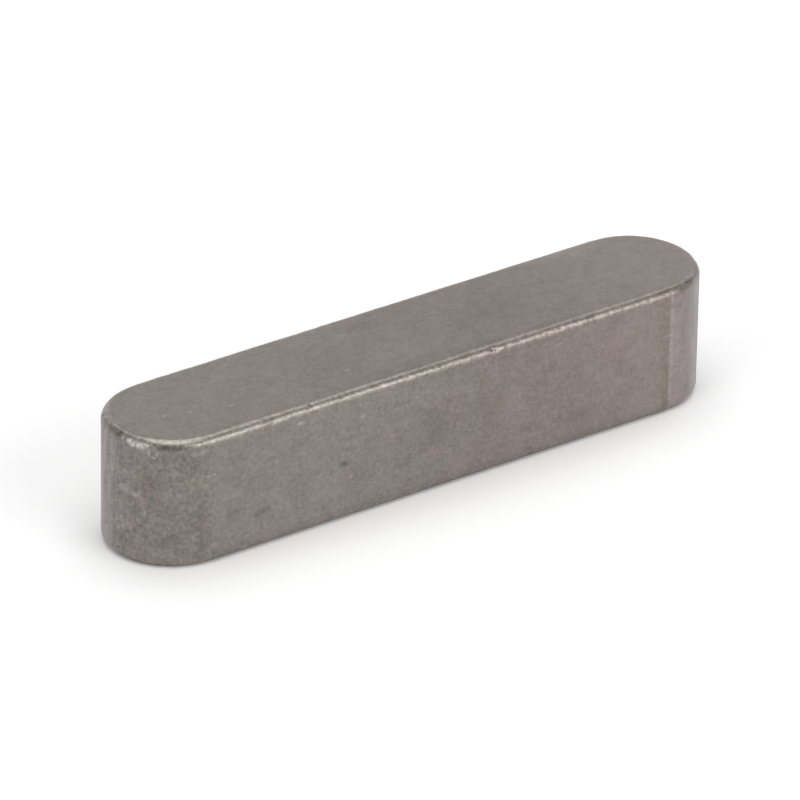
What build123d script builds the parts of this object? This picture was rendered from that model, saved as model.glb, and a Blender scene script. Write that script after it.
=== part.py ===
from build123d import *
import os

# Parallel key, form A: bright drawn key steel of square section, cut to length
# and milled full round at both ends, with every edge rounded off.
# All lengths in millimetres.
#
# Frame: the key lies on its bottom face, as it lies on a bench or in its
# keyseat.  X runs along the key, Y across it from flank to flank, Z up.  The
# origin is the middle of the bottom face.

# ---- driving dimensions ----------------------------------------------------
key_length = 25.0      # overall, from one round end to the other
key_width = 5.0        # across the two working flanks
key_height = 5.0       # from the bottom face to the top face
edge_radius = 0.30     # rounding that runs round the top and the bottom face
milling_step = 0.02    # how far the milled ends stand inside the drawn flanks
density = 7.85e-3      # key steel, grams per cubic millimetre

# ---- what follows from them ------------------------------------------------
end_radius = key_width / 2 - milling_step
end_centre = key_length / 2 - end_radius


def drawn_bar():
    """The straight stretch: the drawn section, run between the end centres."""
    with BuildPart() as bar:
        with BuildSketch(Plane.YZ):
            with Locations((0, key_height / 2)):
                RectangleRounded(key_width, key_height, edge_radius)
        extrude(amount=end_centre, both=True)
    return bar.part


def milled_end():
    """A round end about its own centre line, its edges rounded like the bar's."""
    with BuildPart() as end:
        with BuildSketch(Plane.XZ) as half_section:
            Rectangle(end_radius, key_height, align=(Align.MIN, Align.MIN))
            fillet(half_section.vertices().group_by(Axis.X)[-1], edge_radius)
        revolve(axis=Axis.Z)
    return end.part


def finished_key():
    """Bar and ends as the one piece they are.

    Where an end's radius runs out on a flank, the cutter's fine step is left
    as an upright line from the top rounding to the bottom one.
    """
    key = drawn_bar()
    for side in (-1, 1):
        key += Pos(side * end_centre, 0, 0) * milled_end()
    return key


key_body = finished_key()
key_body.label = "key_body"

os.makedirs("parts", exist_ok=True)
export_step(key_body, "parts/key_body.step")

size = key_body.bounding_box().size
print(f"key_body {size.X:.2f} x {size.Y:.2f} x {size.Z:.2f} mm, {key_body.volume * density:.2f} g")
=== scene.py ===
import bpy
import bmesh
from functools import partial
from math import cos, hypot, pi, radians, sin
from types import SimpleNamespace
from mathutils import Matrix, Vector


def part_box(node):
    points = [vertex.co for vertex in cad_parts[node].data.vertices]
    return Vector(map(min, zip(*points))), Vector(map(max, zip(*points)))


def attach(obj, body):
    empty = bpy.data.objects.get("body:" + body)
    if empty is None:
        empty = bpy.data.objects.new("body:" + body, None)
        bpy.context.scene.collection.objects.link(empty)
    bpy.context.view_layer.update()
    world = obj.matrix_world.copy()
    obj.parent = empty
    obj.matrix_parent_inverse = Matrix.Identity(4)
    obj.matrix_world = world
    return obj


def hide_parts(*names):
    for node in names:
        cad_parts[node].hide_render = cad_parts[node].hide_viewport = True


# Parallel key, form A, of bright drawn key steel: both ends milled full round,
# the edges rounded off, then tumbled and worn.  Lengths are in metres, except
# where a name or a comment says millimetres.

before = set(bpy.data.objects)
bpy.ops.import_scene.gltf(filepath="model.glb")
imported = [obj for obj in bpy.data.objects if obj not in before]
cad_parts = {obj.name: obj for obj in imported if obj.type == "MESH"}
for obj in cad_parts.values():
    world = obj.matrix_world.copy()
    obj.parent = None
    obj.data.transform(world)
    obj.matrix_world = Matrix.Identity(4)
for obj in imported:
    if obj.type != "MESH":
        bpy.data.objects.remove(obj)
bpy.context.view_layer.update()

MM = 0.001

# ---- sizes, taken from the solid ---------------------------------------------
low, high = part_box("key_body")
key_length = high.x - low.x
key_width = high.y - low.y
key_height = high.z - low.z
edge_radius = 0.30 * MM        # rounding round the top and the bottom face
milling_step = 0.02 * MM       # how far the milled ends stand inside the flanks
step_length = 0.10 * MM        # the cutter's run-out, over which the step fades
half_width = key_width / 2
end_radius = half_width - milling_step
end_centre = key_length / 2 - end_radius
bar_end = end_centre - step_length

# ---- how finely the skin is divided ------------------------------------------
flank_steps = 64               # along each straight flank, each cut again into
flank_recuts = 4               # this many more
end_steps = 128                # round each end
rounding_steps = 12            # across a rounded edge
flank_cuts = 21                # up a flank
top_cuts = 17                  # from the top rounding to the centre line
bottom_cuts = 5                # from the centre line to the bottom rounding
weld = 0.001 * MM              # points nearer than this are one
tiny = 0.01 * MM               # a point nearer to a face than this is on it

# ---- wear of the edges -------------------------------------------------------
# Uneven rubbing of the roundings, in millimetres: name, length of a wave, depth.
waves = (
    ("long_waves", 1.50, 0.022),
    ("middle_waves", 0.45, 0.012),
    ("short_waves", 0.16, 0.011),
)
# Knocks along the straight edges, in millimetres: x, side (-1 front, 1 back),
# height, reach, depth.  A depth below nought is metal that the knock beside it
# pushed up.
edge_knocks = (
    (-5.87, -1, 4.98, 0.10, 0.016), (-4.47, -1, 4.98, 0.07, 0.020), (-0.36, -1, 4.97, 0.09, 0.018),
    (2.02, -1, 4.93, 0.11, 0.028), (2.24, -1, 4.88, 0.15, 0.020), (2.54, -1, 4.90, 0.14, -0.010),
    (3.22, -1, 4.98, 0.09, 0.018), (9.06, -1, 4.86, 0.16, 0.010),
    (-7.42, -1, 4.80, 0.12, 0.008), (-2.70, -1, 4.82, 0.16, 0.009), (-1.55, -1, 4.96, 0.11, 0.009),
    (4.55, -1, 4.79, 0.22, 0.010), (5.10, -1, 4.95, 0.12, 0.010), (7.25, -1, 4.81, 0.15, 0.008),
    (1.45, -1, 4.74, 0.50, 0.010), (5.60, -1, 4.73, 0.50, 0.012), (6.55, -1, 4.74, 0.45, 0.010),
    (-8.40, 1, 4.92, 0.12, 0.026), (-3.10, 1, 4.95, 0.18, 0.034), (1.30, 1, 4.88, 0.10, 0.020),
    (1.52, 1, 4.93, 0.14, 0.022), (5.70, 1, 4.93, 0.22, 0.040), (8.80, 1, 4.96, 0.10, 0.024),
    (-6.60, 1, 0.10, 0.14, 0.028), (0.40, 1, 0.07, 0.20, 0.034), (7.20, 1, 0.12, 0.12, 0.024),
    (-3.70, -1, 0.09, 0.12, 0.022), (3.80, -1, 0.08, 0.16, 0.026),
)
# Round the ends: end (-1 left, 1 right), degrees round from +X, height, reach, depth.
end_knocks = (
    (-1, -152, 4.78, 0.34, 0.022), (-1, -161, 4.84, 0.20, 0.018), (-1, -141, 4.66, 0.13, 0.020),
    (-1, -176, 4.93, 0.16, 0.014), (-1, -168, 4.86, 0.12, 0.012), (-1, 152, 4.90, 0.18, 0.012),
    (-1, 118, 0.10, 0.16, 0.030), (1, -76, 4.93, 0.12, 0.020), (1, -18, 4.90, 0.20, 0.034),
    (1, 34, 4.94, 0.12, 0.024), (1, 66, 0.08, 0.18, 0.030), (1, -40, 0.10, 0.12, 0.024),
)

# ---- marks on the skin, in millimetres: middle, half-size along x, y and z ----
pale_scuffs_and_highlights = (
    # round the left end's top rounding, these three lines: pale scuffs that are in part a painted highlight
    ((-12.24, -1.09, 4.72), (0.46, 0.42, 0.13)), ((-12.00, -1.50, 4.58), (0.09, 0.09, 0.17)),
    # along the left end's nose: a thin painted highlight
    ((-12.25, -0.40, 4.99), (0.07, 0.34, 0.06)), ((-12.27, 0.12, 4.99), (0.07, 0.40, 0.06)),
    ((-11.88, -1.64, 4.41), (0.15, 0.15, 0.08)), ((-11.81, -1.71, 4.53), (0.07, 0.07, 0.12)),
    ((-10.15, -2.48, 3.49), (0.13, 0.10, 0.04)), ((-9.95, -2.48, 3.54), (0.16, 0.10, 0.03)),
    ((-6.28, -2.50, 4.45), (0.30, 0.10, 0.11)), ((-5.62, -2.33, 4.98), (0.09, 0.11, 0.05)),
    ((2.80, 2.50, 3.10), (0.30, 0.10, 0.12)), ((-6.90, 2.50, 1.70), (0.12, 0.10, 0.30)),
)
faint_rubs = (
    ((-10.47, -0.22, 5.00), (0.14, 0.09, 0.10)), ((-9.58, -0.50, 5.00), (0.20, 0.08, 0.10)),
    ((-8.05, -0.90, 5.00), (0.18, 0.09, 0.10)), ((-3.23, -1.00, 5.00), (0.18, 0.14, 0.10)),
    ((-12.44, -0.56, 2.92), (0.24, 0.28, 0.26)), ((-12.24, -1.12, 2.78), (0.22, 0.30, 0.18)),
    ((-10.80, -2.36, 2.31), (0.16, 0.16, 0.13)), ((-9.92, -2.48, 0.70), (0.17, 0.10, 0.12)),
    ((-8.57, -2.50, 0.66), (0.06, 0.10, 0.24)), ((-4.10, -2.50, 1.68), (0.16, 0.10, 0.07)),
    ((-1.30, -2.50, 4.01), (0.14, 0.10, 0.09)), ((4.80, -2.50, 1.58), (0.22, 0.10, 0.08)),
    ((5.30, -2.50, 2.02), (0.06, 0.10, 0.18)), ((5.00, -2.50, 4.28), (0.18, 0.10, 0.06)),
    ((9.90, -2.49, 3.18), (0.42, 0.10, 0.04)), ((-3.60, -2.50, 3.90), (0.20, 0.10, 0.12)),
    ((-10.45, -2.40, 4.50), (0.55, 0.25, 0.18)), ((8.40, 3.00, 5.00), (3.00, 1.80, 0.50)),
)
dark_pits = (
    ((-4.38, -2.50, 2.26), (0.26, 0.10, 0.20)), ((-4.16, -2.50, 2.12), (0.08, 0.10, 0.05)),
    ((-11.95, -1.55, 4.54), (0.07, 0.07, 0.06)), ((-12.42, -0.02, 4.91), (0.09, 0.11, 0.07)),
    ((-12.37, -0.29, 4.94), (0.10, 0.12, 0.07)), ((-5.76, -2.36, 4.95), (0.14, 0.13, 0.10)),
    ((-0.19, -2.40, 4.92), (0.15, 0.13, 0.11)), ((2.03, -2.43, 4.90), (0.10, 0.10, 0.10)),
    ((5.52, -2.36, 4.95), (0.10, 0.10, 0.08)),
    ((-6.10, 2.50, 3.60), (0.12, 0.10, 0.09)), ((3.70, 2.50, 1.40), (0.20, 0.10, 0.10)),
)
dark_smudges = (
    ((-9.24, -2.50, 1.73), (0.18, 0.10, 0.10)), ((-9.00, -2.50, 1.78), (0.20, 0.10, 0.11)),
    ((-8.10, -2.50, 1.36), (0.28, 0.10, 0.17)), ((-7.82, -2.50, 1.47), (0.30, 0.10, 0.17)),
)
brown_clouds = (
    ((3.60, -0.20, 5.00), (2.60, 1.50, 0.40)), ((-0.60, 1.30, 5.00), (1.20, 0.60, 0.40)),
    ((1.90, -2.50, 2.50), (1.00, 0.30, 1.30)), ((-3.90, -2.50, 1.60), (1.00, 0.30, 0.90)),
    ((6.10, -2.50, 1.20), (1.20, 0.30, 0.80)), ((-1.80, 2.50, 2.80), (1.60, 0.30, 1.20)),
    ((6.90, 2.50, 3.10), (1.20, 0.30, 1.00)), ((-10.30, -2.45, 1.30), (0.70, 0.30, 1.00)),
    ((-0.40, -2.50, 2.60), (2.00, 0.30, 1.70)), ((2.40, -2.50, 4.62), (5.00, 0.15, 0.26)),
    ((2.40, -2.06, 5.00), (5.00, 0.26, 0.12)), ((-1.50, -1.90, 5.00), (5.00, 0.80, 0.30)),
    ((9.75, -2.50, 0.40), (0.34, 0.30, 0.36)), ((10.42, -2.44, 4.78), (0.60, 0.40, 0.36)),
    ((5.36, -2.50, 2.22), (0.12, 0.10, 0.16)), ((3.89, -2.50, 0.72), (0.10, 0.10, 0.26)),
    ((1.61, -2.50, 3.00), (0.34, 0.10, 0.60)), ((6.93, -2.50, 3.39), (0.12, 0.10, 0.20)),
    ((-10.75, 1.95, 4.98), (0.50, 0.22, 0.12)),
)
green_film = (
    ((-2.00, -0.30, 5.00), (0.80, 0.60, 0.30)), ((-10.45, 1.85, 5.00), (0.80, 0.36, 0.20)),
    ((-8.60, -2.50, 2.60), (1.30, 0.30, 1.80)), ((-6.20, -2.50, 1.30), (1.20, 0.30, 0.90)),
)
old_oil = (
    ((-11.62, -1.88, 4.77), (0.46, 0.38, 0.11)), ((-11.20, -2.17, 4.78), (0.42, 0.28, 0.10)),
    ((-10.84, -2.33, 4.80), (0.30, 0.16, 0.06)), ((-5.76, -2.36, 4.95), (0.13, 0.11, 0.09)),
    ((-0.19, -2.40, 4.92), (0.14, 0.12, 0.10)), ((9.80, -2.36, 4.95), (0.60, 0.12, 0.06)),
    ((10.50, -2.31, 4.95), (0.45, 0.12, 0.06)), ((10.98, -2.15, 4.94), (0.36, 0.18, 0.06)),
    ((10.48, -2.42, 4.84), (0.09, 0.10, 0.11)),
)
rosy_stains = (
    ((-12.10, -1.35, 3.00), (0.34, 0.34, 0.62)), ((-11.74, -1.80, 2.86), (0.30, 0.30, 0.34)),
    ((-2.39, -2.50, 2.92), (0.50, 0.10, 0.34)), ((7.40, -2.50, 3.30), (0.90, 0.10, 0.60)),
    ((-0.40, -2.50, 1.60), (0.60, 0.10, 0.40)), ((-6.90, -2.50, 4.30), (0.70, 0.10, 0.22)),
    ((5.00, 2.50, 2.20), (0.80, 0.10, 0.70)),
)
grey_stains = (
    ((-12.05, -1.42, 1.00), (0.75, 0.75, 0.70)), ((-11.96, -1.55, 2.75), (0.12, 0.12, 0.45)),
    ((-12.30, -0.95, 2.10), (0.40, 0.40, 0.60)), ((-11.30, -2.12, 3.30), (0.62, 0.50, 0.44)),
    ((-11.30, 2.00, 1.60), (0.60, 0.60, 0.80)),
)


# ---- the key -----------------------------------------------------------------
def pick(piece, kind, test):
    """In edit mode, select just the verts or edges that pass the test."""
    bpy.ops.mesh.select_all(action="DESELECT")
    bpy.context.tool_settings.mesh_select_mode = (kind == "verts", kind == "edges", False)
    mesh = bmesh.from_edit_mesh(piece.data)
    for item in getattr(mesh, kind):
        if test(item):
            item.select_set(True)
    bmesh.update_edit_mesh(piece.data)


def half_section():
    """Half of the key's section, an open line from the bottom middle round the flank to the top."""
    bpy.ops.object.select_all(action="DESELECT")
    bpy.ops.mesh.primitive_plane_add(
        size=half_width, location=(-bar_end, -half_width / 2, key_height / 2), rotation=(0, pi / 2, 0)
    )
    piece = bpy.context.object
    piece.name = piece.data.name = "key_steel_body"
    piece.scale.x = key_height / half_width
    bpy.ops.object.transform_apply(location=True, rotation=True, scale=True)
    bpy.ops.object.mode_set(mode="EDIT")
    pick(piece, "verts", lambda v: v.co.y < -half_width + tiny)
    bpy.ops.mesh.bevel(affect="VERTICES", offset=edge_radius, segments=rounding_steps, profile=0.5)
    bpy.ops.mesh.select_all(action="SELECT")
    bpy.ops.mesh.delete(type="ONLY_FACE")
    pick(piece, "edges", lambda e: all(abs(v.co.y) < tiny for v in e.verts))
    bpy.ops.mesh.delete(type="EDGE")
    for cuts, middle in (
        (bottom_cuts, lambda m: m.z < tiny),
        (flank_cuts, lambda m: m.y < -half_width + tiny),
        (top_cuts, lambda m: m.z > key_height - tiny),
    ):
        pick(piece, "edges", lambda e: e.calc_length() > edge_radius
             and middle((e.verts[0].co + e.verts[1].co) / 2))
        bpy.ops.mesh.subdivide(number_cuts=cuts)
    bpy.ops.mesh.select_all(action="SELECT")
    return piece


def run_out(piece, along, across):
    """Draw the section on over the cutter's run-out, its flank and roundings shifted by the step."""
    bpy.ops.mesh.extrude_region_move(TRANSFORM_OT_translate={"value": (along, 0, 0)})
    bpy.context.tool_settings.mesh_select_mode = (True, False, False)
    mesh = bmesh.from_edit_mesh(piece.data)
    section = [v for v in mesh.verts if v.select]
    flat = half_width - edge_radius - milling_step - tiny
    for v in section:
        v.select_set(abs(v.co.y) > flat)
    bmesh.update_edit_mesh(piece.data)
    bpy.ops.transform.translate(value=(0, across, 0))
    for v in section:
        v.select_set(True)
    bmesh.update_edit_mesh(piece.data)


def build_key():
    """Run the half section along one flank, round an end, back along the other and round again."""
    piece = half_section()
    stretch = 2 * bar_end / flank_steps
    for heading in (1, -1):
        bpy.ops.mesh.extrude_repeat(steps=flank_steps, offset=(heading * stretch, 0, 0))
        run_out(piece, heading * step_length, heading * milling_step)
        bpy.ops.mesh.spin(steps=end_steps, angle=pi, center=(heading * end_centre, 0, 0), axis=(0, 0, -1))
        run_out(piece, -heading * step_length, heading * milling_step)
    bpy.ops.mesh.select_all(action="SELECT")
    bpy.ops.mesh.remove_doubles(threshold=weld)
    pick(piece, "edges", lambda e: abs(abs(e.verts[0].co.x - e.verts[1].co.x) - stretch) < weld
         and max(abs(v.co.x) for v in e.verts) < bar_end + weld)
    bpy.ops.mesh.subdivide(number_cuts=flank_recuts)
    bpy.ops.mesh.select_all(action="SELECT")
    bpy.ops.mesh.normals_make_consistent(inside=False)
    bpy.ops.object.mode_set(mode="OBJECT")
    return piece


def rub_edges(piece):
    """Wear the rounded edges unevenly, and only inwards: long waves, then middle and short ones."""
    bpy.context.view_layer.objects.active = piece
    group = "rounded_edges"
    edges = piece.vertex_groups.new(name=group)
    for v in piece.data.vertices:
        x, y, z = v.co
        across = edge_radius - half_width + hypot(max(abs(x) - end_centre, 0), y)
        up = edge_radius - min(z, key_height - z)
        if across > 0 and up > 0:
            edges.add([v.index], min(1, 2 * across * up / edge_radius ** 2) ** 0.5, "REPLACE")
    for name, wave_length, depth in waves:
        clouds = bpy.data.textures.new(name, "CLOUDS")
        clouds.noise_scale = wave_length * MM
        clouds.noise_depth = 2
        bpy.ops.object.modifier_add(type="DISPLACE")
        wear = piece.modifiers[-1]
        wear.texture = clouds
        wear.texture_coords = "LOCAL"
        wear.vertex_group = group
        wear.mid_level = 1
        wear.strength = depth * MM
        bpy.ops.object.modifier_apply(modifier=wear.name)


def knock(piece, place, push, reach):
    """Push the metal round one place, most at its middle and nothing at its reach."""
    mesh = bmesh.from_edit_mesh(piece.data)
    struck = min(mesh.verts, key=lambda v: (v.co - place).length_squared)
    struck.select_set(True)
    bmesh.update_edit_mesh(piece.data)
    bpy.ops.transform.translate(
        value=push, use_proportional_edit=True, proportional_edit_falloff="SMOOTH", proportional_size=reach
    )
    bpy.ops.mesh.select_all(action="DESELECT")


def knock_edges(piece):
    """Push each edge in at 45 degrees: towards the middle of the key and of its height."""
    bpy.ops.object.mode_set(mode="EDIT")
    bpy.ops.mesh.select_all(action="DESELECT")
    bpy.context.tool_settings.mesh_select_mode = (True, False, False)
    half_height = key_height / MM / 2
    for x, side, z, reach, depth in edge_knocks:
        down = -1 if z > half_height else 1
        push = Vector((0, -side, down)).normalized() * depth * MM
        knock(piece, Vector((x * MM, side * half_width, z * MM)), push, reach * MM)
    for end, angle, z, reach, depth in end_knocks:
        down = -1 if z > half_height else 1
        out = Vector((cos(radians(angle)), sin(radians(angle)), 0))
        push = (Vector((0, 0, down)) - out).normalized() * depth * MM
        knock(piece, out * end_radius + Vector((end * end_centre, 0, z * MM)), push, reach * MM)
    bpy.ops.object.mode_set(mode="OBJECT")


# ---- how finishes are put together -------------------------------------------
def linear(hex_colour):
    """sRGB hex to the linear values that Blender's sockets take."""
    parts = [int(hex_colour[i:i + 2], 16) / 255 for i in (1, 3, 5)]
    return [p / 12.92 if p <= 0.04045 else ((p + 0.055) / 1.055) ** 2.4 for p in parts] + [1.0]


def new_material(name):
    """A material with its node tree, still empty."""
    material = bpy.data.materials.new(name)
    material.use_nodes = True
    tree = material.node_tree
    tree.nodes.clear()
    return material, tree


def add_node(tree, kind, inputs={}, **settings):
    """One node with its settings, its sockets set, or linked to a socket or a node's first live output."""
    node = tree.nodes.new(kind)
    for name, value in settings.items():
        setattr(node, name, value)
    for socket, value in inputs.items():
        if isinstance(value, bpy.types.Node):
            value = next(output for output in value.outputs if output.enabled)
        if isinstance(value, bpy.types.NodeSocket):
            tree.links.new(value, node.inputs[socket])
        else:
            node.inputs[socket].default_value = value
    return node


def within(tree, *ramps):
    """How far a spot lies within all the ramps, 0 to 1: each is a value, its start and where it is full."""
    found = None
    for value, start, full in ramps:
        ramp = add_node(tree, "ShaderNodeMapRange", {"Value": value, "From Min": start, "From Max": full})
        found = ramp if found is None else add_node(
            tree, "ShaderNodeMath", {0: found, 1: ramp}, operation="MULTIPLY")
    return found


def marked(tree, place, marks, soft):
    """How much a spot lies within any of the marks, 0 to 1, fading over the outer soft part."""
    found = None
    for middle, size in marks:
        off = add_node(tree, "ShaderNodeVectorMath", {0: place, 1: middle}, operation="SUBTRACT")
        off = add_node(tree, "ShaderNodeVectorMath", {0: off, 1: size}, operation="DIVIDE")
        off = add_node(tree, "ShaderNodeVectorMath", {0: off}, operation="LENGTH")
        inside = add_node(tree, "ShaderNodeMapRange", {
            "Value": off, "From Min": 1.0, "From Max": 1.0 - soft}, interpolation_type="SMOOTHSTEP")
        found = inside if found is None else add_node(
            tree, "ShaderNodeMath", {0: found, 1: inside}, operation="MAXIMUM")
    return found


def painted(tree, colour, layers):
    """Colours laid over one another: each has its amount, 0 to 1, and the share that it covers at most."""
    for amount, share, over in layers:
        cover = add_node(tree, "ShaderNodeMath", {0: amount, 1: share}, operation="MULTIPLY")
        colour = add_node(tree, "ShaderNodeMix", {0: cover, 6: colour, 7: linear(over)}, data_type="RGBA")
    return colour


# ---- drawn key steel ---------------------------------------------------------
def places_on_key(tree):
    """Where a spot is on the key, in millimetres, and how much it is on a flat or on milled metal."""
    node = partial(add_node, tree)
    centre = end_centre / MM
    place = node("ShaderNodeVectorMath", {
        0: node("ShaderNodeTexCoord").outputs["Object"], "Scale": 1 / MM}, operation="SCALE").outputs[0]
    x, y, z = node("ShaderNodeSeparateXYZ", {0: place}).outputs
    side = node("ShaderNodeMath", {0: x}, operation="SIGN")
    right = node("ShaderNodeMath", {0: x, 1: 0.0}, operation="GREATER_THAN")
    along = node("ShaderNodeMath", {0: x}, operation="ABSOLUTE")
    past = node("ShaderNodeMath", {0: along, 1: centre}, operation="SUBTRACT")
    past = node("ShaderNodeMath", {0: past, 1: 0.0}, operation="MAXIMUM")

    # in from the flanks and the ends, and from the nearest line where two faces would meet
    outwards = node("ShaderNodeCombineXYZ", {0: past, 1: y})
    outwards = node("ShaderNodeVectorMath", {0: outwards}, operation="LENGTH")
    inset = node("ShaderNodeMath", {0: half_width / MM, 1: outwards}, operation="SUBTRACT")
    depth = node("ShaderNodeMath", {0: key_height / MM, 1: z}, operation="SUBTRACT")
    depth = node("ShaderNodeMath", {0: z, 1: depth}, operation="MINIMUM")
    corner = node("ShaderNodeCombineXYZ", {0: inset, 1: depth})
    corner = node("ShaderNodeVectorMath", {0: corner}, operation="LENGTH")
    round_end = node("ShaderNodeMath", {0: past, 1: y}, operation="ARCTAN2")
    round_end = node("ShaderNodeMath", {0: round_end, 1: end_radius / MM}, operation="MULTIPLY")

    flat = node("ShaderNodeMapRange", {
        "Value": inset, "From Min": 0.12, "From Max": 0.34}, interpolation_type="SMOOTHSTEP")
    upright = node("ShaderNodeMath", {0: 1.0, 1: flat}, operation="SUBTRACT")
    milled = node("ShaderNodeMapRange", {
        "Value": along, "From Min": centre - 0.12, "From Max": centre + 0.10},
        interpolation_type="SMOOTHSTEP")
    milled = node("ShaderNodeMath", {0: milled, 1: upright}, operation="MULTIPLY")
    return SimpleNamespace(
        place=place, x=x, y=y, z=z, side=side, right=right, along=along, past=past, inset=inset,
        corner=corner, round_end=round_end, flat=flat, upright=upright, milled=milled)


def skin_patterns(tree, at):
    """The noises that the finish is drawn with; a feature of each is about 1 / Scale millimetres.

    The tumbled grain and the draw lines are a few hundredths of a millimetre on
    the real metal, and are drawn as coarse as they need to show.
    """
    node = partial(add_node, tree)
    # places shifted about, so that stains get ragged outlines and small marks frayed ones
    wander = node("ShaderNodeTexNoise", {"Vector": at.place, "Scale": 4.0, "Detail": 3.0})
    shift = node("ShaderNodeVectorMath", {
        0: wander.outputs["Color"], 1: (0.5, 0.5, 0.5)}, operation="SUBTRACT")
    ragged, frayed = (
        node("ShaderNodeVectorMath", {0: shift, 1: [reach] * 3, 2: at.place}, operation="MULTIPLY_ADD")
        for reach in (0.45, 0.18))
    # the drawn and tumbled skin, from its broadest tones to its finest grain
    clouds = node("ShaderNodeTexNoise", {
        "Vector": at.place, "Scale": 0.24, "Detail": 3.0, "Roughness": 0.55, "Distortion": 0.5})
    patches = node("ShaderNodeTexNoise", {
        "Vector": at.place, "Scale": 1.1, "Detail": 4.0, "Roughness": 0.62, "Distortion": 0.6})
    worms = node("ShaderNodeTexNoise", {
        "Vector": at.place, "Scale": 2.2, "Detail": 3.0, "Roughness": 0.6, "Distortion": 0.8})
    grain = node("ShaderNodeTexNoise", {"Vector": at.place, "Scale": 6.0, "Detail": 4.0, "Roughness": 0.75})
    specks = node("ShaderNodeTexNoise", {"Vector": ragged, "Scale": 7.0, "Detail": 1.0})
    # draw lines along the bar, and the cutter's upright streaks round the ends
    lengthwise = node("ShaderNodeMapping", {
        "Vector": at.place, "Scale": (0.22, 1.0, 1.0), "Location": (3.0, 7.0, 1.0)})
    draw_lines = node("ShaderNodeTexNoise", {"Vector": lengthwise, "Scale": 5.0, "Detail": 2.0})
    unrolled = node("ShaderNodeCombineXYZ", {
        0: at.round_end,
        1: node("ShaderNodeMath", {0: at.z, 1: 0.10}, operation="MULTIPLY"),
        2: node("ShaderNodeMath", {0: at.side, 1: 5.0}, operation="MULTIPLY")})
    cutter = node("ShaderNodeTexNoise", {"Vector": unrolled, "Scale": 4.5, "Detail": 3.0, "Roughness": 0.6})
    return SimpleNamespace(
        wander=wander, ragged=ragged, frayed=frayed, clouds=clouds, patches=patches, worms=worms,
        grain=grain, specks=specks, draw_lines=draw_lines, cutter=cutter)


def end_skin_shows(tree, at, pattern):
    """How much the ends' own skin shows: it starts raggedly at the left end, straight at the right one."""
    node = partial(add_node, tree)
    start = end_centre / MM
    uneven = node("ShaderNodeMath", {0: pattern.patches, 1: 1.6, 2: at.along}, operation="MULTIPLY_ADD")
    uneven = node("ShaderNodeMapRange", {
        "Value": uneven, "From Min": start + 0.30, "From Max": start + 1.40}, interpolation_type="SMOOTHSTEP")
    uneven = node("ShaderNodeMath", {0: uneven, 1: at.upright}, operation="MULTIPLY")
    return node("ShaderNodeMix", {0: at.right, 2: uneven, 3: at.milled})


def drawn_faces(tree, at, pattern):
    """Green-grey at the left to brown-grey, lighter towards the right end, with rosy patches."""
    node = partial(add_node, tree)
    lean = node("ShaderNodeMath", {0: at.x, 1: 0.080, 2: 0.80}, operation="MULTIPLY_ADD")
    tone = node("ShaderNodeMath", {0: pattern.clouds, 1: 2.6, 2: -1.3}, operation="MULTIPLY_ADD")
    tone = node("ShaderNodeMath", {0: tone, 1: lean}, operation="ADD", use_clamp=True)
    brown = node("ShaderNodeMix", {0: at.flat, 6: linear("#877E79"), 7: linear("#887F78")}, data_type="RGBA")
    colour = node("ShaderNodeMix", {0: tone, 6: linear("#8A857E"), 7: brown}, data_type="RGBA")
    for value, start, full, share, over in (
        (at.x, 5.0, 9.5, 0.80, "#8F8680"),
        (pattern.patches, 0.50, 0.66, 0.28, "#8C8084"),
    ):
        cover = node("ShaderNodeMapRange", {
            "Value": value, "From Min": start, "From Max": full, "To Max": share})
        colour = node("ShaderNodeMix", {0: cover, 6: colour, 7: linear(over)}, data_type="RGBA")
    return colour


def left_end_skin(tree, at, pattern):
    """Blotched, cooler round its nose, and beyond the nose in pale and dark cutter streaks."""
    node = partial(add_node, tree)
    # blotches, warm beside the flank and cool round the nose
    blotch = node("ShaderNodeMapRange", {"Value": pattern.patches, "From Min": 0.30, "From Max": 0.70})
    warm, cool = (
        node("ShaderNodeMix", {0: blotch, 6: linear(dark), 7: linear(light)}, data_type="RGBA")
        for dark, light in (("#7B7670", "#88817A"), ("#7B7572", "#88807C")))
    cooler = node("ShaderNodeMapRange", {"Value": at.y, "From Min": -1.50, "From Max": -0.80})
    blotched = node("ShaderNodeMix", {0: cooler, 6: warm, 7: cool}, data_type="RGBA")
    # cutter streaks, the pale ones in turn greyer and rosier
    turn = node("ShaderNodeCombineXYZ", {0: at.round_end, 2: at.side})
    turn = node("ShaderNodeTexNoise", {"Vector": turn, "Scale": 2.6, "Detail": 0.0})
    turn = node("ShaderNodeMapRange", {"Value": turn, "From Min": 0.38, "From Max": 0.62})
    pale = node("ShaderNodeMix", {0: turn, 6: linear("#8E8A86"), 7: linear("#968A88")}, data_type="RGBA")
    streak = node("ShaderNodeMapRange", {"Value": pattern.cutter, "From Min": 0.34, "From Max": 0.66})
    streaked = node("ShaderNodeMix", {0: streak, 6: linear("#7A7270"), 7: pale}, data_type="RGBA")
    # the streaks start at the nose and soften towards the back flank
    beyond = node("ShaderNodeMapRange", {"Value": at.y, "From Min": -0.26, "From Max": -0.21})
    softer = node("ShaderNodeMapRange", {"Value": at.y, "From Min": 1.80, "From Max": 0.90, "To Min": 0.35})
    beyond = node("ShaderNodeMath", {0: beyond, 1: softer}, operation="MULTIPLY")
    return node("ShaderNodeMix", {0: beyond, 6: blotched, 7: streaked}, data_type="RGBA")


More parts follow.
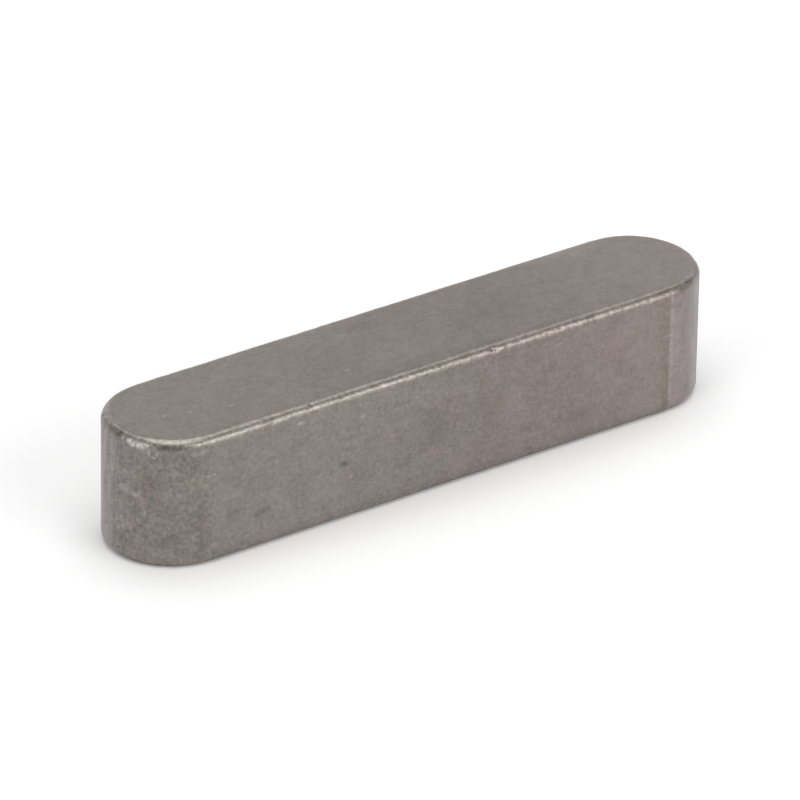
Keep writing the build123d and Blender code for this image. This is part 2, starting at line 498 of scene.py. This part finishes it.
def right_end_skin(tree, at, pattern):
    """Pale and even: paler beside the run-out, palest half way round, and dark round the nose."""
    node = partial(add_node, tree)
    streak = node("ShaderNodeMapRange", {"Value": pattern.cutter, "From Min": 0.34, "From Max": 0.66})
    colour = node("ShaderNodeMix", {0: streak, 6: linear("#8C8280"), 7: linear("#918786")}, data_type="RGBA")
    for start, full, share, over in (
        (1.18, 0.28, 0.36, "#9B9190"),
        (0.88, 1.48, 0.60, "#A39C9A"),
        (1.48, 1.93, 0.90, "#706765"),
    ):
        cover = node("ShaderNodeMapRange", {
            "Value": at.past, "From Min": start, "From Max": full, "To Max": share})
        colour = node("ShaderNodeMix", {0: cover, 6: colour, 7: linear(over)}, data_type="RGBA")
    return colour


def run_out_line(tree, at, pattern, colour):
    """Where the right cutter ran out: old oil against the step, then the step's own rubbed line."""
    node = partial(add_node, tree)
    uneven = node("ShaderNodeMath", {0: pattern.wander, 1: 0.12, 2: at.x}, operation="MULTIPLY_ADD")
    climb = node("ShaderNodeMath", {0: at.z, 1: 0.10, 2: at.x}, operation="MULTIPLY_ADD")
    step = end_centre / MM
    oil = within(
        tree, (climb, step - 0.40, step + 0.04), (uneven, step + 0.04, step - 0.06), (at.upright, 0.0, 1.0))
    rubbed = within(
        tree, (uneven, step - 0.03, step + 0.06), (uneven, step + 0.22, step + 0.09), (at.upright, 0.0, 1.0))
    for amount, start, least, most, over in (
        (oil, 0.35, 0.10, 0.64, "#7D746A"),
        (rubbed, 0.38, 0.20, 0.75, "#A69B98"),
    ):
        broken = node("ShaderNodeMapRange", {
            "Value": pattern.wander, "From Min": start, "From Max": 0.60, "To Min": least, "To Max": most})
        cover = node("ShaderNodeMath", {0: amount, 1: broken}, operation="MULTIPLY")
        colour = node("ShaderNodeMix", {0: cover, 6: colour, 7: linear(over)}, data_type="RGBA")
    return colour


def wear_of_skin(tree, at, pattern, end_skin):
    """How much a spot is on a rounding, rubbed bright, under a pale scuff (in part a painted highlight),
    pitted, or in a pale or a dark speck.
    """
    node = partial(add_node, tree)
    rounding = node("ShaderNodeMapRange", {"Value": at.corner, "From Min": 0.36, "From Max": 0.18})
    rubbed = node("ShaderNodeMath", {0: pattern.wander, 1: 1.6, 2: rounding}, operation="MULTIPLY_ADD")
    rubbed = node("ShaderNodeMapRange", {
        "Value": rubbed, "From Min": 1.25, "From Max": 1.70}, interpolation_type="SMOOTHSTEP")

    # the scuffs, and the painted highlight among them, are broken up by dots
    dots = node("ShaderNodeTexNoise", {"Vector": at.place, "Scale": 11.0, "Detail": 1.0})
    dots = node("ShaderNodeMapRange", {"Value": dots, "From Min": 0.42, "From Max": 0.58, "To Min": 0.40})
    scuffed_and_highlit = marked(tree, pattern.frayed, pale_scuffs_and_highlights, 0.8)
    scuffed_and_highlit = node("ShaderNodeMath", {0: scuffed_and_highlit, 1: dots}, operation="MULTIPLY")

    # the back has stray pits besides the marks: about one cell in five holds one
    cells = node("ShaderNodeTexVoronoi", {"Vector": pattern.ragged, "Scale": 0.75})
    chance = node("ShaderNodeSeparateColor", {0: cells.outputs["Color"]}).outputs[0]
    chosen = node("ShaderNodeMath", {0: chance, 1: 0.78}, operation="GREATER_THAN")
    stray = within(
        tree, (cells.outputs["Distance"], 0.090, 0.010), (chosen, 0.0, 1.0), (at.y, 1.6, 2.0),
        (at.upright, 0.0, 1.0))
    pitted = marked(tree, pattern.frayed, dark_pits, 0.9)
    pitted = node("ShaderNodeMath", {0: pitted, 1: stray}, operation="MAXIMUM")

    # specks: many on the left end, few on the right one, and fewest on the flanks
    on_end = node("ShaderNodeMix", {0: at.right, 2: 0.85, 3: 0.10})
    on_end = node("ShaderNodeMath", {0: end_skin, 1: on_end}, operation="MULTIPLY")
    on_flank = node("ShaderNodeMath", {0: at.upright, 1: 0.15}, operation="MULTIPLY")
    specked = node("ShaderNodeMath", {0: on_end, 1: on_flank}, operation="MAXIMUM")
    pale_speck = within(tree, (pattern.specks, 0.62, 0.76), (specked, 0.0, 1.0))
    dark_speck = within(tree, (pattern.specks, 0.38, 0.26), (specked, 0.0, 1.0))
    return SimpleNamespace(
        rounding=rounding, rubbed=rubbed, scuffed_and_highlit=scuffed_and_highlit, pitted=pitted,
        pale_speck=pale_speck, dark_speck=dark_speck)


def steel_colour(tree, at, pattern, end_skin, worn):
    """The drawn faces, the milled ends over them, then the run-out line, the stains and the wear."""
    colour = drawn_faces(tree, at, pattern)
    ends = add_node(tree, "ShaderNodeMix", {
        0: at.right, 6: left_end_skin(tree, at, pattern), 7: right_end_skin(tree, at, pattern)},
        data_type="RGBA")
    colour = add_node(tree, "ShaderNodeMix", {0: end_skin, 6: colour, 7: ends}, data_type="RGBA")
    # the left end's top rounding is filed wider and paler round to the back
    filed = within(
        tree, (at.inset, 0.40, 0.30), (at.y, -0.05, 0.40), (at.z, 4.80, 4.90), (at.x, -11.1, -11.7))
    colour = painted(tree, colour, ((filed, 0.90, "#9A918E"),))
    colour = run_out_line(tree, at, pattern, colour)
    return painted(tree, colour, (
        (worn.pale_speck, 0.55, "#ACA49D"),
        (worn.dark_speck, 0.55, "#5F5B58"),
        (marked(tree, pattern.ragged, brown_clouds, 0.9), 0.40, "#786E68"),
        (marked(tree, pattern.ragged, green_film, 0.9), 0.35, "#838279"),
        (marked(tree, pattern.ragged, rosy_stains, 0.7), 0.30, "#948280"),
        (marked(tree, pattern.ragged, grey_stains, 0.7), 0.26, "#6D6E6C"),
        (marked(tree, pattern.frayed, old_oil, 0.5), 0.48, "#45463F"),
        (marked(tree, pattern.frayed, faint_rubs, 0.9), 0.40, "#B5AEA8"),
        # pale scuffs, in part a painted highlight round the left end's top rounding
        (worn.scuffed_and_highlit, 0.85, "#BCB7B0"),
        (worn.pitted, 0.62, "#57534E"),
        (marked(tree, pattern.frayed, dark_smudges, 0.6), 0.36, "#57534E"),
        (worn.rubbed, 0.22, "#A19A91"),
    ))


def steel_mottle(tree, at, pattern, worn):
    """How light the skin is from spot to spot, about 1: calmest on the flats, with painted light low on the
    ends.
    """
    node = partial(add_node, tree)
    strength = node("ShaderNodeMapRange", {"Value": at.flat, "To Min": 1.00, "To Max": 0.78})
    calmer = node("ShaderNodeMapRange", {
        "Value": at.x, "From Min": 1.0, "From Max": 9.0, "To Min": 1.10, "To Max": 0.82})
    strength = node("ShaderNodeMath", {0: strength, 1: calmer}, operation="MULTIPLY")
    by_end = node("ShaderNodeMix", {0: at.right, 2: 0.38, 3: -0.30})
    strength = node("ShaderNodeMath", {0: at.milled, 1: by_end, 2: strength}, operation="MULTIPLY_ADD")
    strength = node("ShaderNodeMath", {0: worn.rounding, 1: 0.60, 2: strength}, operation="MULTIPLY_ADD")
    mottle = 1.05
    for noise, weight in (
        (pattern.grain, strength), (pattern.worms, 0.34), (pattern.patches, 0.30), (pattern.draw_lines, 0.16)
    ):
        noise = node("ShaderNodeMath", {0: noise, 1: 0.5}, operation="SUBTRACT")
        mottle = node("ShaderNodeMath", {0: noise, 1: weight, 2: mottle}, operation="MULTIPLY_ADD")
    # painted light: the ends are made lighter towards the bottom, where they mirror the key's shadow on the
    # floor
    foot_painted_light = within(tree, (at.z, 0.65, 0.15), (at.milled, 0.0, 1.0))
    return node("ShaderNodeMath", {0: foot_painted_light, 1: 0.14, 2: mottle}, operation="MULTIPLY_ADD")


def steel_relief(tree, at, pattern, worn):
    """Height of the skin: the grain, the draw lines, the cutter's streaks, the specks and the pits."""
    node = partial(add_node, tree)
    streaks = node("ShaderNodeMath", {0: pattern.cutter, 1: at.milled}, operation="MULTIPLY")
    specks = node("ShaderNodeMath", {0: pattern.specks, 1: worn.rounding}, operation="MULTIPLY")
    height = pattern.grain
    for part, weight in ((pattern.draw_lines, 0.25), (streaks, 0.90), (specks, 1.0), (worn.pitted, -2.0)):
        height = node("ShaderNodeMath", {0: part, 1: weight, 2: height}, operation="MULTIPLY_ADD")
    return node("ShaderNodeBump", {"Height": height, "Distance": 0.005 * MM})


def steel_roughness(tree, at, pattern, worn):
    """Dried film, grain, scuffs and pits dull the metal, and rubbing polishes it."""
    roughness = 0.25
    for part, weight in (
        (pattern.clouds, 0.14), (pattern.grain, 0.10), (at.milled, 0.02),
        (worn.rubbed, -0.04), (worn.scuffed_and_highlit, 0.10), (worn.pitted, 0.20),
    ):
        roughness = add_node(tree, "ShaderNodeMath", {
            0: part, 1: weight, 2: roughness}, operation="MULTIPLY_ADD")
    return roughness


def drawn_key_steel():
    """Bright drawn carbon steel with milled ends, oiled, tumbled and handled.

    To the eye: a grey satin metal, greenish at the left and browner towards the
    right where the oil film has dried; a fine mottle on the flanks and a calmer
    top; a blotched, speckled left end with upright cutter streaks beyond its
    nose, and a paler, more even right end.  Short pale scuffs, in part a painted
    highlight round the left end's top rounding, small dark pits, rubbed edges,
    and a brown line of old oil where the right cutter ran out.
    """
    material, tree = new_material("drawn_key_steel")
    at = places_on_key(tree)
    pattern = skin_patterns(tree, at)
    end_skin = end_skin_shows(tree, at, pattern)
    worn = wear_of_skin(tree, at, pattern, end_skin)
    colour = add_node(tree, "ShaderNodeHueSaturation", {
        "Color": steel_colour(tree, at, pattern, end_skin, worn),
        "Value": steel_mottle(tree, at, pattern, worn)})
    shader = add_node(tree, "ShaderNodeBsdfPrincipled", {
        "Base Color": colour,
        "Metallic": 1.0,
        "Roughness": steel_roughness(tree, at, pattern, worn),
        "Normal": steel_relief(tree, at, pattern, worn)})
    add_node(tree, "ShaderNodeOutputMaterial", {"Surface": shader})
    return material


# ---- the key, worn and finished ----------------------------------------------
key = build_key()
rub_edges(key)
knock_edges(key)
bpy.ops.object.shade_smooth_by_angle(angle=radians(40))
key.data.materials.append(drawn_key_steel())
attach(key, "root")
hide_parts("key_body")

# ---- studio ------------------------------------------------------------------
middle = Vector((0, 0, key_height / 2))


def studio_floor_paint():
    """Matt white paint on board: only the key's soft shadow shows, and the steel mirrors it evenly."""
    material, tree = new_material("studio_floor_paint")
    white = linear("#F4F4F4")
    shaded = 0.8 * MM          # the mirrored floor is darker this near to the key
    paint = add_node(tree, "ShaderNodeBsdfPrincipled", {
        "Base Color": white, "Roughness": 0.9, "Specular IOR Level": 0.0})
    mirrored = add_node(tree, "ShaderNodeEmission", {"Color": white, "Strength": 1.07})
    place = add_node(tree, "ShaderNodeTexCoord").outputs["Object"]
    x, y, z = add_node(tree, "ShaderNodeSeparateXYZ", {0: place}).outputs
    along = add_node(tree, "ShaderNodeMath", {0: x}, operation="ABSOLUTE")
    past = add_node(tree, "ShaderNodeMath", {0: along, 1: end_centre}, operation="SUBTRACT")
    past = add_node(tree, "ShaderNodeMath", {0: past, 1: 0.0}, operation="MAXIMUM")
    away = add_node(tree, "ShaderNodeCombineXYZ", {0: past, 1: y})
    away = add_node(tree, "ShaderNodeVectorMath", {0: away}, operation="LENGTH")
    open_floor = add_node(tree, "ShaderNodeMapRange", {
        "Value": away, "From Min": half_width, "From Max": half_width + shaded, "To Max": 0.62})
    seen_in_gloss = add_node(tree, "ShaderNodeLightPath").outputs["Is Glossy Ray"]
    share = add_node(tree, "ShaderNodeMath", {0: seen_in_gloss, 1: open_floor}, operation="MULTIPLY")
    shader = add_node(tree, "ShaderNodeMixShader", {0: share, 1: paint, 2: mirrored})
    add_node(tree, "ShaderNodeOutputMaterial", {"Surface": shader})
    return material


def direction(azimuth, elevation):
    """From the key towards azimuth (0 is the front, -Y, and 90 the right, +X) and elevation, in degrees."""
    a, e = radians(azimuth), radians(elevation)
    return Vector((sin(a) * cos(e), -cos(a) * cos(e), sin(e)))


def softbox(name, azimuth, elevation, distance, width, height, level):
    """A soft lamp turned to the key; level is how bright its face is beside a white card."""
    data = bpy.data.lights.new(name, "AREA")
    data.shape = "RECTANGLE"
    data.size, data.size_y = width, height
    data.energy = level * pi * width * height
    lamp = bpy.data.objects.new(name, data)
    back = direction(azimuth, elevation)
    lamp.location = middle + back * distance
    lamp.rotation_euler = back.to_track_quat("Z", "Y").to_euler()
    bpy.context.scene.collection.objects.link(lamp)


def studio():
    """A white board, an overhead softbox, one at the front right, and three reflectors."""
    bpy.ops.object.select_all(action="DESELECT")
    bpy.ops.mesh.primitive_plane_add(size=4)
    floor = bpy.context.object
    floor.name = floor.data.name = "studio_floor"
    floor.data.materials.append(studio_floor_paint())
    softbox("overhead_softbox", 144, 89.2, 0.50, 0.40, 0.55, 2.05)
    softbox("side_reflector", 112, 41, 0.80, 0.32, 0.22, 0.70)
    softbox("right_softbox", 18.5, 26.5, 0.60, 0.45, 0.36, 2.45)
    softbox("rear_reflector", 145, 19, 0.80, 1.30, 0.54, 0.40)
    softbox("left_reflector", -87, 19, 0.80, 0.60, 0.40, 2.2)
    world = bpy.data.worlds.new("room")
    world.use_nodes = True
    world.node_tree.nodes["Background"].inputs["Color"].default_value = (0.5, 0.5, 0.5, 1)
    bpy.context.scene.world = world


def camera():
    """A long lens from the front left, looking down on the key."""
    azimuth, elevation, roll = -35.85, 28.15, 0.92
    off_axis = Vector((-0.154, -0.093, 308.3)) * MM    # aside, up, and back from the key's middle
    turn = (Matrix.Rotation(radians(azimuth), 3, "Z") @ Matrix.Rotation(radians(90 - elevation), 3, "X")
            @ Matrix.Rotation(radians(roll), 3, "Z"))
    data = bpy.data.cameras.new("camera")
    data.lens = 389.0
    data.sensor_width = 36.0
    data.clip_start = 0.01
    cam = bpy.data.objects.new("camera", data)
    cam.location = middle + turn @ off_axis
    cam.rotation_euler = turn.to_euler()
    bpy.context.scene.collection.objects.link(cam)
    bpy.context.scene.camera = cam


studio()
camera()
bpy.context.scene.view_settings.view_transform = "Standard"
